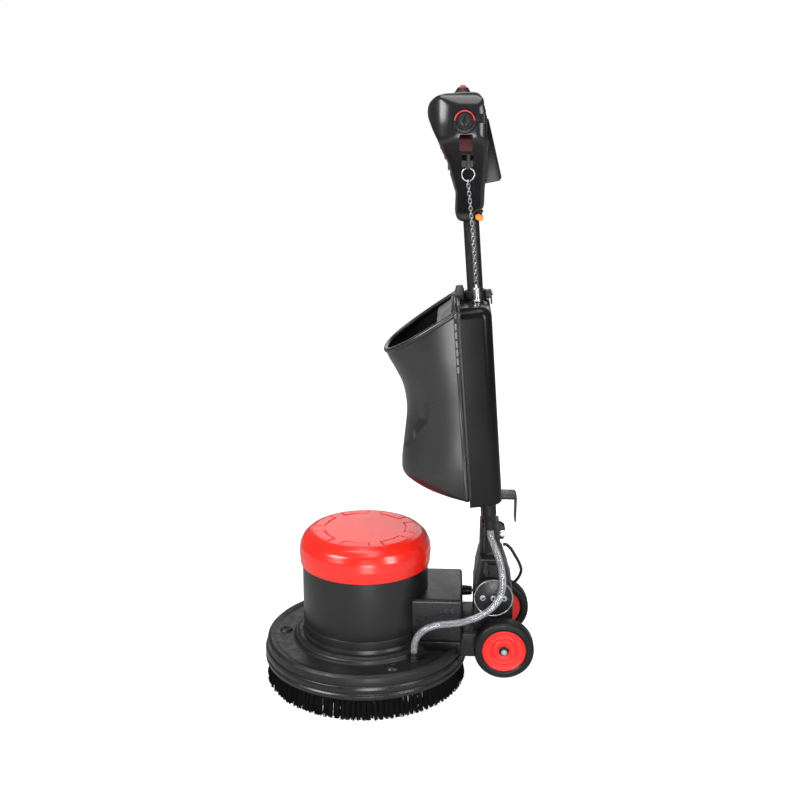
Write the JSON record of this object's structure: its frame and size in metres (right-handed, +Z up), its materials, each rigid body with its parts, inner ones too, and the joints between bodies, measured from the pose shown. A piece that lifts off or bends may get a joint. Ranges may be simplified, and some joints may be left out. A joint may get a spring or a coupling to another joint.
{
  "type": "floor scrubber",
  "caption": "Walk-behind single-disc floor scrubber: round brush deck with a domed motor, rear transport wheels and a tilting handle with an open solution tank and a two-grip console.",
  "frame": {"origin": "middle of the machine's footprint, on the floor that the brush rests on", "axes": "+Z up, +X towards the operator (handle side), +Y towards the far side as seen from the machine's near side"},
  "size_m": [0.575, 0.438, 1.236],
  "materials": {
    "cast_black": "cast aluminium, satin black paint",
    "steel_black": "satin black powder coat",
    "bumper_rubber": "satin moulded rubber",
    "hood_red": "gloss",
    "hub_red": "satin",
    "console_black": "gloss",
    "box_black": "satin gloss",
    "trim_black": "satin moulded",
    "tank_grey": "satin gloss moulded",
    "cover_grey": "matt moulded",
    "lever_red": "satin",
    "lever_orange": "satin",
    "tyre_black": "matt rubber",
    "bristle_black": "nylon filament",
    "block_black": "moulded",
    "zinc_steel": "zinc plated",
    "bright_steel": "polished",
    "motor_steel": "rolled",
    "winding_copper": "enamelled copper wire",
    "gear_brass": "cut bronze",
    "gear_steel": "cut steel",
    "clear_hose": "clear soft PVC",
    "cable_black": "matt",
    "capacitor_grey": "satin"
  },
  "bodies": {
    "base": {"base_deck": "cast_black", "bumper_ring": "bumper_rubber", "wheel_frame": "steel_black", "pivot_pin": "zinc_steel", "pivot_disc_near": "zinc_steel", "pivot_disc_far": "zinc_steel", "axle": "zinc_steel", "box_cover": "box_black", "run_capacitor": "capacitor_grey", "cable_gland": "trim_black", "hose_barb": "trim_black", "motor_shroud": "steel_black", "motor_hood": "hood_red", "motor_casing": "motor_steel", "stator": "winding_copper", "lower_shield": "motor_steel", "lower_bearing": "bright_steel", "gear_housing": "cast_black", "ring_gear": "gear_steel", "output_bearing": "bright_steel", "solution_hose": "clear_hose", "motor_cable": "cable_black"},
    "brush": {"bristle_ring": "bristle_black", "brush_block": "block_black", "drive_plate": "zinc_steel", "planet_carrier": "gear_steel"},
    "rotor": {"motor_shaft": "motor_steel", "rotor_core": "motor_steel", "cooling_fan": "trim_black"},
    "planet_1": {"planet_gear_1": "gear_brass"},
    "planet_2": {"planet_gear_2": "gear_brass"},
    "planet_3": {"planet_gear_3": "gear_brass"},
    "wheel_near": {"tyre_near": "tyre_black", "wheel_hub_near": "hub_red"},
    "wheel_far": {"tyre_far": "tyre_black", "wheel_hub_far": "hub_red"},
    "handle": {"handle_tube": "steel_black", "tilt_casting": "cast_black", "clamp_bolt": "zinc_steel", "cord_hook": "steel_black", "tank_front": "tank_grey", "tank_rear": "tank_grey", "filler_cover": "cover_grey", "tank_clamp": "trim_black", "valve_gland": "bright_steel", "outlet_spout": "trim_black", "console_shell": "console_black", "button_base": "trim_black", "grip_near": "trim_black", "cap_ring_near": "hub_red", "grip_far": "trim_black", "cap_ring_far": "hub_red"},
    "safety_button": {"safety_button": "hood_red"},
    "start_lever_near": {"start_lever_near": "lever_red"},
    "start_lever_far": {"start_lever_far": "lever_red"},
    "tilt_lever": {"tilt_lever": "lever_orange"},
    "lock_rod": {"lock_rod": "zinc_steel"},
    "solution_lever": {"solution_lever": "trim_black"},
    "valve_pull": {"valve_rod": "zinc_steel", "pull_chain": "bright_steel"}
  },
  "joints": [
    {"name": "brush_spin", "type": "hinge", "parent": "base", "child": "brush", "pos_m": [-0.0685, 0, 0.06], "axis": [0, 0, 1], "continuous": true},
    {"name": "rotor_spin", "type": "hinge", "parent": "base", "child": "rotor", "pos_m": [-0.0685, 0, 0.2], "axis": [0, 0, 1], "continuous": true},
    {"name": "planet_1_spin", "type": "hinge", "parent": "brush", "child": "planet_1", "pos_m": [-0.03175, 0, 0.1255], "axis": [0, 0, 1], "continuous": true},
    {"name": "planet_2_spin", "type": "hinge", "parent": "brush", "child": "planet_2", "pos_m": [-0.08687, 0.03183, 0.1255], "axis": [0, 0, 1], "continuous": true},
    {"name": "planet_3_spin", "type": "hinge", "parent": "brush", "child": "planet_3", "pos_m": [-0.08687, -0.03183, 0.1255], "axis": [0, 0, 1], "continuous": true},
    {"name": "wheel_near_spin", "type": "hinge", "parent": "base", "child": "wheel_near", "pos_m": [0.2255, -0.1025, 0.112], "axis": [0, 1, 0], "continuous": true},
    {"name": "wheel_far_spin", "type": "hinge", "parent": "base", "child": "wheel_far", "pos_m": [0.2255, 0.1025, 0.112], "axis": [0, 1, 0], "continuous": true},
    {"name": "handle_tilt", "type": "hinge", "parent": "base", "child": "handle", "pos_m": [0.2035, 0, 0.206], "axis": [0, 1, 0], "range_deg": [0, 65], "deforming": ["solution_hose", "motor_cable"]},
    {"name": "button_press", "type": "slide", "parent": "handle", "child": "safety_button", "axis": [0, 0, -1], "range_m": [0, 0.004], "stiffness_N_per_m": 300},
    {"name": "start_lever_near_squeeze", "type": "hinge", "parent": "handle", "child": "start_lever_near", "pos_m": [0.0975, -0.09, 1.143], "axis": [0, -1, 0], "range_deg": [0, 9], "stiffness_Nm_per_rad": 1},
    {"name": "start_lever_far_squeeze", "type": "hinge", "parent": "handle", "child": "start_lever_far", "pos_m": [0.0975, 0.09, 1.143], "axis": [0, -1, 0], "range_deg": [0, 9], "stiffness_Nm_per_rad": 1},
    {"name": "tilt_release", "type": "hinge", "parent": "handle", "child": "tilt_lever", "pos_m": [0.1655, 0, 0.999], "axis": [0, 1, 0], "range_deg": [0, 12]},
    {"name": "lock_rod_lift", "type": "slide", "parent": "handle", "child": "lock_rod", "axis": [-0.075, 0, 0.9972], "range_m": [0, 0.0034], "stiffness_N_per_m": 400},
    {"name": "solution_lift", "type": "hinge", "parent": "handle", "child": "solution_lever", "pos_m": [0.1135, -0.139, 1.117], "axis": [0, -1, 0], "range_deg": [0, 12]},
    {"name": "valve_lift", "type": "slide", "parent": "handle", "child": "valve_pull", "axis": [-0.075, 0, 0.9972], "range_m": [0, 0.00475], "stiffness_N_per_m": 300}
  ],
  "couplings": [
    {"joint": "rotor_spin", "follows": "brush_spin", "ratio": 9.3333},
    {"joint": "planet_1_spin", "follows": "brush_spin", "ratio": -2.2727},
    {"joint": "planet_2_spin", "follows": "brush_spin", "ratio": -2.2727},
    {"joint": "planet_3_spin", "follows": "brush_spin", "ratio": -2.2727},
    {"joint": "tilt_release", "follows": "lock_rod_lift", "rad_per_m": 60.24},
    {"joint": "solution_lift", "follows": "valve_lift", "rad_per_m": 43.668}
  ]
}
